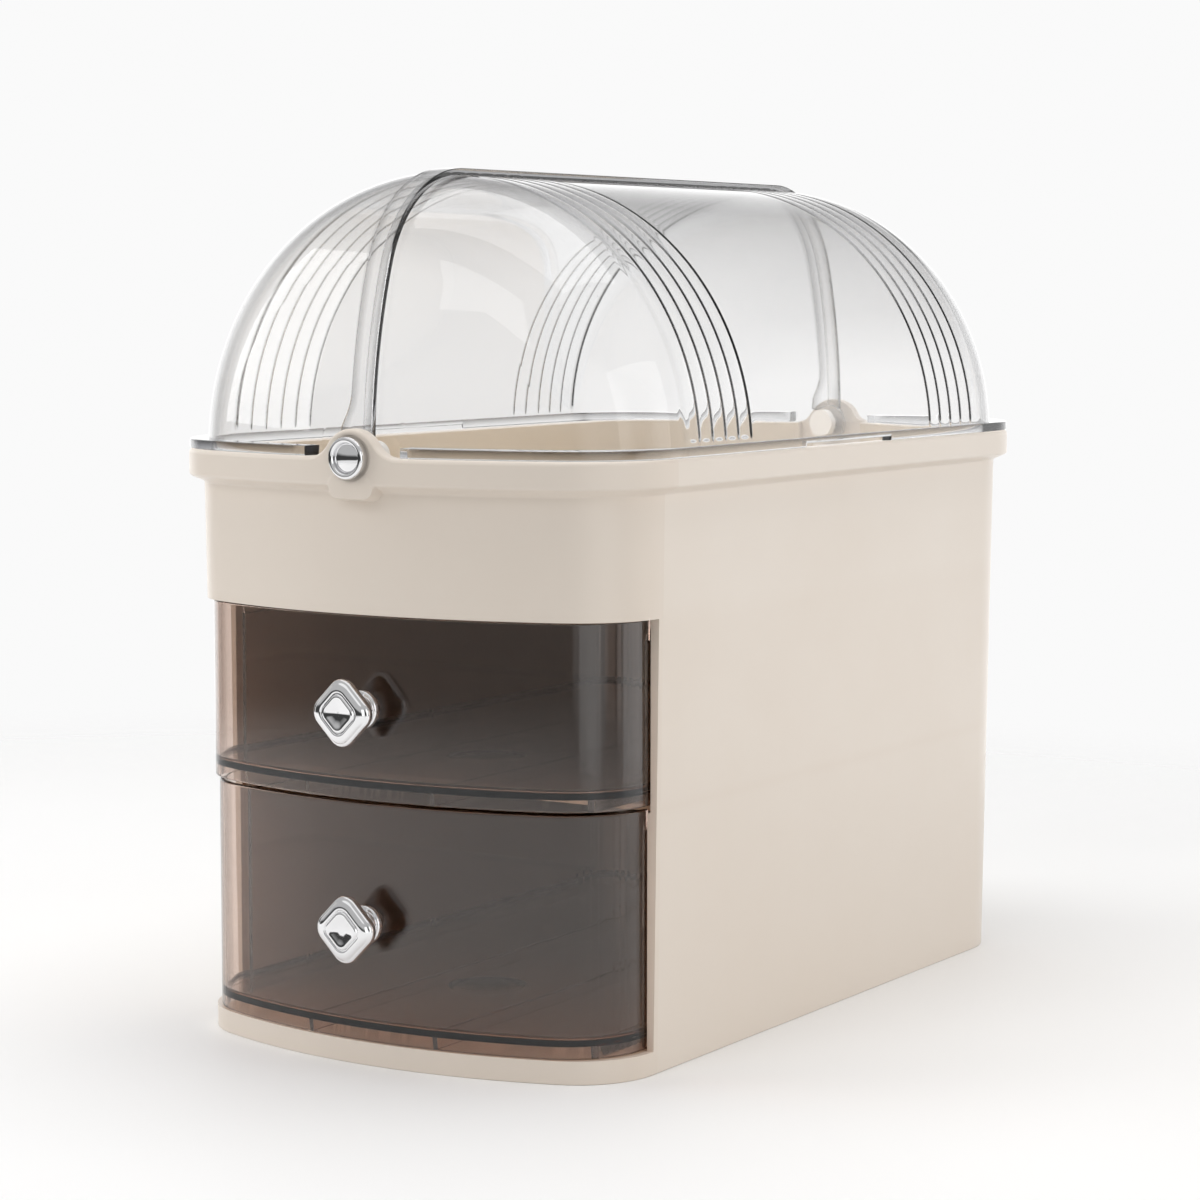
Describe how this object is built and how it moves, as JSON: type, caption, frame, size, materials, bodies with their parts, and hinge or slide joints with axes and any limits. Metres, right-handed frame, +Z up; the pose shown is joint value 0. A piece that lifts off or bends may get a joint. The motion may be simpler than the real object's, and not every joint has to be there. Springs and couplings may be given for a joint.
{
  "type": "drawer storage box",
  "caption": "Bowed cream storage cabinet with smoked pull-out drawers, chrome knobs and an open top tray under a clear fluted dome of swinging half lids",
  "frame": {"origin": "on the floor under the middle of the cabinet", "axes": "+Z up, -Y to the drawer fronts, +X to the right as seen from the front"},
  "size_m": [0.1874, 0.3417, 0.294],
  "materials": {
    "cream": "satin moulded cream plastic",
    "cream_inner": "satin moulded cream plastic",
    "smoked": "polished smoked see-through plastic",
    "clear": "polished clear plastic",
    "chrome": "mirror plated",
    "steel": "bright zinc plated",
    "retainer": "plain moulded plastic"
  },
  "bodies": {
    "cabinet": {"cabinet_shell": "cream", "base_plate": "cream_inner", "middle_shelf": "cream_inner", "tray_floor": "cream_inner", "front_rivet": "chrome", "rear_rivet": "chrome", "front_rivet_retainer": "retainer", "rear_rivet_retainer": "retainer"},
    "lower_drawer": {"lower_drawer": "smoked", "lower_knob": "chrome", "lower_knob_screw": "steel"},
    "upper_drawer": {"upper_drawer": "smoked", "upper_knob": "chrome", "upper_knob_screw": "steel"},
    "left_lid": {"left_lid": "clear"},
    "right_lid": {"right_lid": "clear"}
  },
  "joints": [
    {"name": "lower_drawer_slide", "type": "slide", "parent": "cabinet", "child": "lower_drawer", "axis": [0, -1, 0], "range_m": [0, 0.16]},
    {"name": "upper_drawer_slide", "type": "slide", "parent": "cabinet", "child": "upper_drawer", "axis": [0, -1, 0], "range_m": [0, 0.16]},
    {"name": "left_lid_swing", "type": "hinge", "parent": "cabinet", "child": "left_lid", "pos_m": [0, 0, 0.2], "axis": [0, 1, 0], "range_deg": [0, 32]},
    {"name": "right_lid_swing", "type": "hinge", "parent": "cabinet", "child": "right_lid", "pos_m": [0, 0, 0.2], "axis": [0, -1, 0], "range_deg": [0, 32]}
  ]
}
